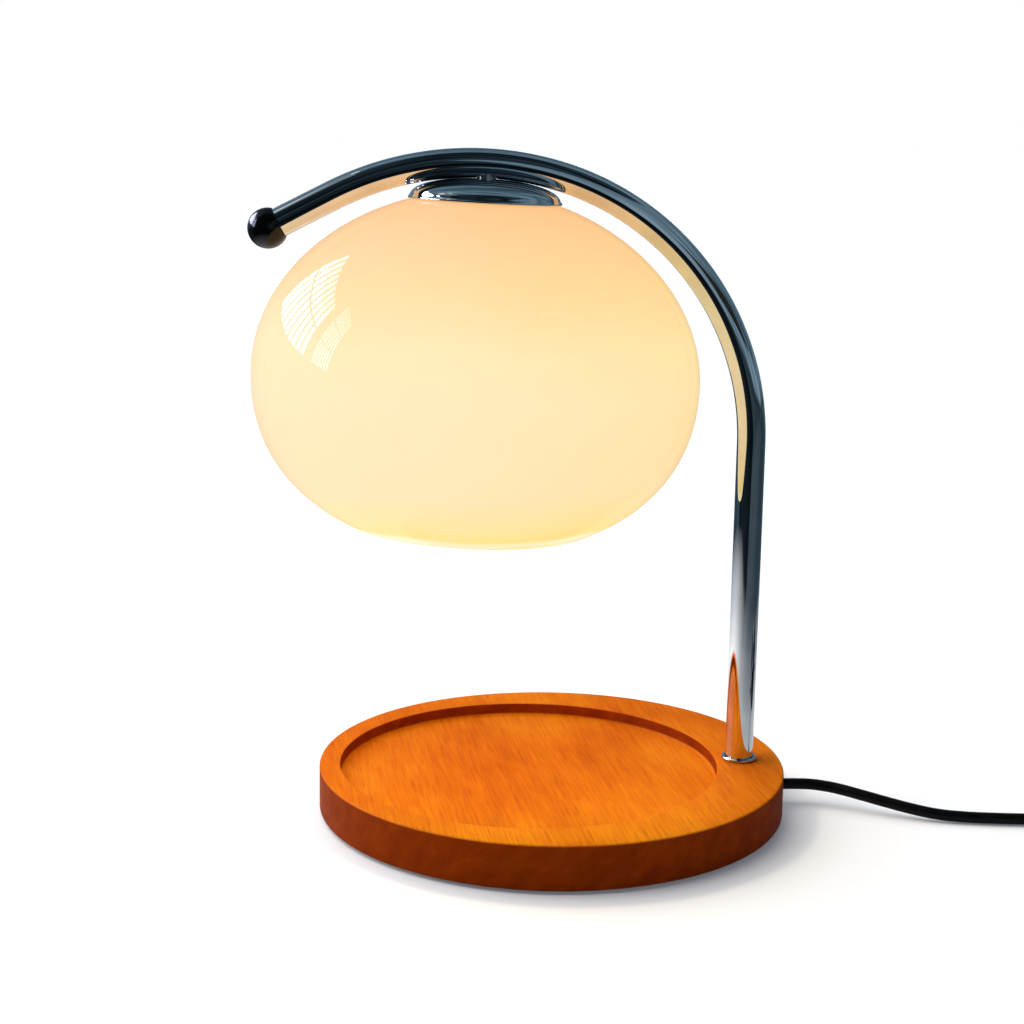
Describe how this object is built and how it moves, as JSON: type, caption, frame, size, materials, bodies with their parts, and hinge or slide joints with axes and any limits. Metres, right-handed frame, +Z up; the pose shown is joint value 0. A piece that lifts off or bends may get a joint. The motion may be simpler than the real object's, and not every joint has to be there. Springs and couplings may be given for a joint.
{
  "type": "warming lamp",
  "caption": "Table lamp with a round wooden base and shallow dish, a bent chrome tube arching over it, and an opal glass globe hung above the dish; corded, with an in-line dimmer.",
  "frame": {"origin": "centre of the round base on the surface that it stands on", "axes": "+X from the base centre to the foot of the tube, +Z up; the arch lies in the XZ plane"},
  "size_m": [0.4626, 0.2, 0.28],
  "materials": {
    "stained_wood": "satin lacquer over orange-brown stain",
    "chrome": "polished",
    "black_gloss": "glossy lacquer",
    "black_plastic": "fine satin",
    "cord_jacket": "smooth semi-gloss jacket",
    "foam_pad": "soft matte foam",
    "opal_glass": "glossy, milky, warm when lit",
    "silicone": "translucent satin",
    "zinc_steel": "zinc plated",
    "brass": "machined",
    "ceramic": "matte white",
    "nylon": "translucent white",
    "mirror_glass": "aluminised glass",
    "clear_glass": "clear",
    "circuit_board": "green laminate",
    "lead_jacket": "matte heat-proof jacket"
  },
  "bodies": {
    "lamp": {"base_disc": "stained_wood", "base_pad": "foam_pad", "wiring_cover": "black_plastic", "cover_screw_1": "zinc_steel", "cover_screw_2": "zinc_steel", "cover_screw_3": "zinc_steel", "cover_screw_4": "zinc_steel", "arm_tube": "chrome", "foot_collar": "chrome", "foot_pipe": "zinc_steel", "foot_washer": "zinc_steel", "foot_nut": "brass", "ball_finial": "black_gloss", "glass_shade": "opal_glass", "dome_cap": "chrome", "cap_gasket": "silicone", "shade_gasket": "silicone", "retainer_plate": "zinc_steel", "hanger_washer": "zinc_steel", "hanger_nut": "brass", "hanger_pipe": "zinc_steel", "lamp_holder": "ceramic", "holder_contact_1": "brass", "holder_contact_2": "brass", "cord_inside": "cord_jacket", "cord_grommet": "black_plastic", "cord_clamp": "black_plastic", "clamp_screw_1": "zinc_steel", "clamp_screw_2": "zinc_steel", "terminal_block": "nylon", "inner_lead": "lead_jacket", "cord_lead_out": "cord_jacket", "cord_coil_outer": "cord_jacket", "cord_to_dimmer": "cord_jacket", "cord_from_dimmer": "cord_jacket", "cord_coil_inner": "cord_jacket", "cord_to_plug": "cord_jacket", "coil_tie": "black_plastic", "dimmer_lower_case": "black_plastic", "dimmer_upper_case": "black_plastic", "dimmer_screw_1": "zinc_steel", "dimmer_screw_2": "zinc_steel", "dimmer_boot_1": "black_plastic", "dimmer_boot_2": "black_plastic", "dimmer_board": "circuit_board", "dimmer_control": "black_plastic", "plug_body": "black_plastic", "plug_pin_1": "brass", "plug_pin_2": "brass"},
    "bulb": {"bulb_base": "ceramic", "bulb_pin_1": "zinc_steel", "bulb_pin_2": "zinc_steel", "bulb_reflector": "mirror_glass", "bulb_lens": "clear_glass", "bulb_capsule": "clear_glass"},
    "dial": {"dimmer_dial": "black_gloss"}
  },
  "joints": [
    {"name": "bulb_twist", "type": "hinge", "parent": "lamp", "child": "bulb", "pos_m": [-0.03308, 0, 0.21394], "axis": [0.0419, 0, 0.9991], "range_deg": [-25, 0]},
    {"name": "dimmer_dial_turn", "type": "hinge", "parent": "lamp", "child": "dial", "pos_m": [0.314, 0.0089, 0.0152], "axis": [0, 0, 1], "range_deg": [-270, 0]}
  ]
}
